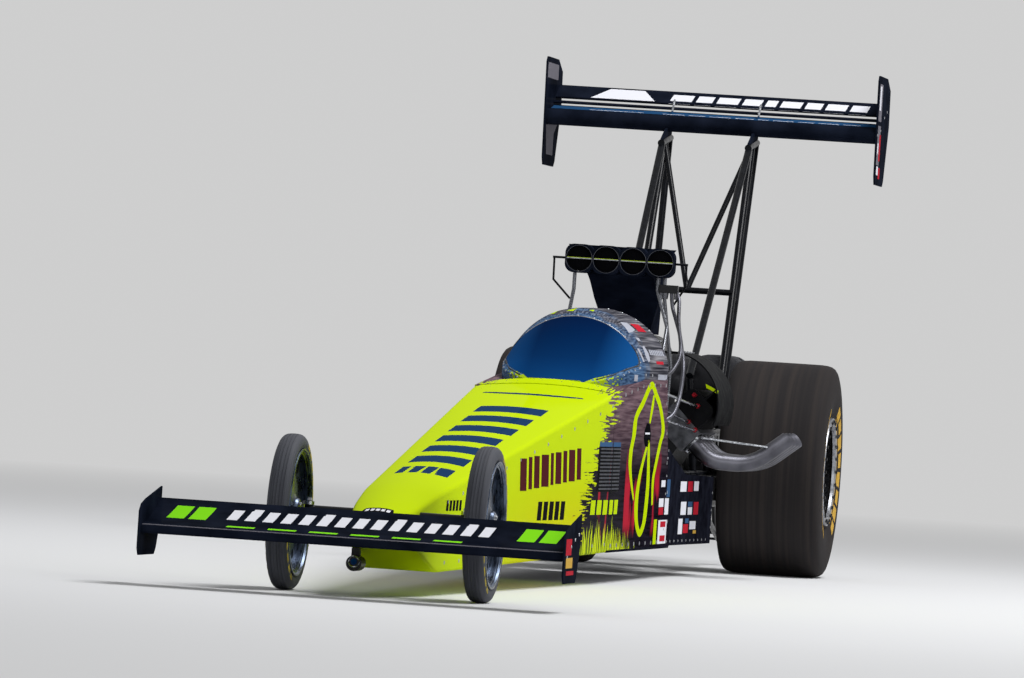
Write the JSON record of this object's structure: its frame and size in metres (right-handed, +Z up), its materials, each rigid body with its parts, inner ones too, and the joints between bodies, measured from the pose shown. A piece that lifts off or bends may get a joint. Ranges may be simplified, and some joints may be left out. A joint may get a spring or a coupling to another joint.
{
  "type": "rail dragster racing car",
  "caption": "Long rail-type drag racing car with closed nose, canopy cockpit, supercharged engine behind the driver, slick rear tyres and a high rear wing",
  "frame": {"origin": "on the ground, at the bottom centre of the car's box", "axes": "+X is the car's left, +Y is rearward and +Z is up"},
  "size_m": [1.54, 9.742, 2.286],
  "materials": {
    "nose_paint": "gloss fluorescent lime paint on a moulded shell",
    "side_paint": "gloss dark purple-black paint",
    "canopy_carbon": "gloss dark navy moulded carbon shell",
    "windscreen_tint": "dark blue tinted polycarbonate",
    "frame_black": "gloss black powder coat on steel tube",
    "wing_black": "gloss black moulded carbon",
    "skirt_black": "gloss black panel",
    "bare_aluminium": "machined and sheet aluminium",
    "cast_black": "satin black coated magnesium",
    "polished_steel": "polished steel",
    "header_steel": "heat-dulled steel tube",
    "rubber_belt": "toothed rubber belt on dark pulleys",
    "hose_braid": "braided steel hose",
    "front_rim_metal": "satin blue-grey aluminium",
    "rear_rim_black": "black anodised wheel",
    "tyre_rubber": "slick racing tyre",
    "seat_shell": "matt carbon seat shell",
    "pack_fabric": "black woven nylon",
    "wheel_plastic": "hard black rubber"
  },
  "bodies": {
    "chassis": {"nose_shell": "nose_paint", "cockpit_deck": "canopy_carbon", "left_side_panel": "side_paint", "right_side_panel": "side_paint", "belly_pan": "skirt_black", "firewall": "bare_aluminium", "chassis_frame": "frame_black", "seat": "seat_shell", "steering_yoke": "cast_black", "front_axle_beam": "frame_black", "front_wing": "wing_black", "front_endplates": "wing_black", "sensor_pod": "cast_black", "engine_block": "cast_black", "cylinder_heads": "bare_aluminium", "valve_covers": "cast_black", "intake_manifold": "bare_aluminium", "supercharger": "cast_black", "injector_hat": "wing_black", "throttle_linkage": "bare_aluminium", "blower_drive": "rubber_belt", "magnetos": "cast_black", "headers": "header_steel", "fuel_lines": "hose_braid", "bell_housing": "cast_black", "rear_end_housing": "cast_black", "wing_stand": "frame_black", "rear_wing": "wing_black", "rear_endplates": "wing_black", "parachute_packs": "pack_fabric", "wheelie_bar": "frame_black", "engine_skirts": "skirt_black"},
    "canopy": {"canopy_shell": "canopy_carbon", "windscreen": "windscreen_tint"},
    "left_knuckle": {"left_knuckle": "polished_steel"},
    "right_knuckle": {"right_knuckle": "polished_steel"},
    "tie_rod": {"tie_rod": "polished_steel"},
    "front_left_wheel": {"front_left_rim": "front_rim_metal", "front_left_tyre": "tyre_rubber"},
    "front_right_wheel": {"front_right_rim": "front_rim_metal", "front_right_tyre": "tyre_rubber"},
    "rear_axle": {"rear_axle_shaft": "polished_steel", "rear_rims": "rear_rim_black", "rear_tyres": "tyre_rubber"},
    "left_wheelie_wheel": {"left_wheelie_wheel": "wheel_plastic"},
    "right_wheelie_wheel": {"right_wheelie_wheel": "wheel_plastic"}
  },
  "joints": [
    {"name": "canopy_hinge", "type": "hinge", "parent": "chassis", "child": "canopy", "pos_m": [0, -0.169, 0.8], "axis": [1, 0, 0], "range_deg": [0, 55]},
    {"name": "left_steer", "type": "hinge", "parent": "chassis", "child": "left_knuckle", "pos_m": [0.283, -4.109, 0.2795], "axis": [0, 0, 1], "range_deg": [-15, 15]},
    {"name": "right_steer", "type": "hinge", "parent": "chassis", "child": "right_knuckle", "pos_m": [-0.283, -4.109, 0.2795], "axis": [0, 0, 1], "range_deg": [-15, 15]},
    {"name": "tie_rod_pivot", "type": "hinge", "parent": "left_knuckle", "child": "tie_rod", "pos_m": [0.283, -3.999, 0.2595], "axis": [0, 0, 1], "range_deg": [-15, 15]},
    {"name": "front_left_spin", "type": "hinge", "parent": "left_knuckle", "child": "front_left_wheel", "pos_m": [0.354, -4.109, 0.2795], "axis": [1, 0, 0], "continuous": true},
    {"name": "front_right_spin", "type": "hinge", "parent": "right_knuckle", "child": "front_right_wheel", "pos_m": [-0.354, -4.109, 0.2795], "axis": [1, 0, 0], "continuous": true},
    {"name": "rear_spin", "type": "hinge", "parent": "chassis", "child": "rear_axle", "pos_m": [0, 3.511, 0.475], "axis": [1, 0, 0], "continuous": true},
    {"name": "left_wheelie_spin", "type": "hinge", "parent": "chassis", "child": "left_wheelie_wheel", "pos_m": [0.142, 4.816, 0.12], "axis": [1, 0, 0], "continuous": true},
    {"name": "right_wheelie_spin", "type": "hinge", "parent": "chassis", "child": "right_wheelie_wheel", "pos_m": [-0.142, 4.816, 0.12], "axis": [1, 0, 0], "continuous": true}
  ],
  "couplings": [
    {"joint": "right_steer", "follows": "left_steer", "ratio": 1},
    {"joint": "tie_rod_pivot", "follows": "left_steer", "ratio": -1}
  ]
}
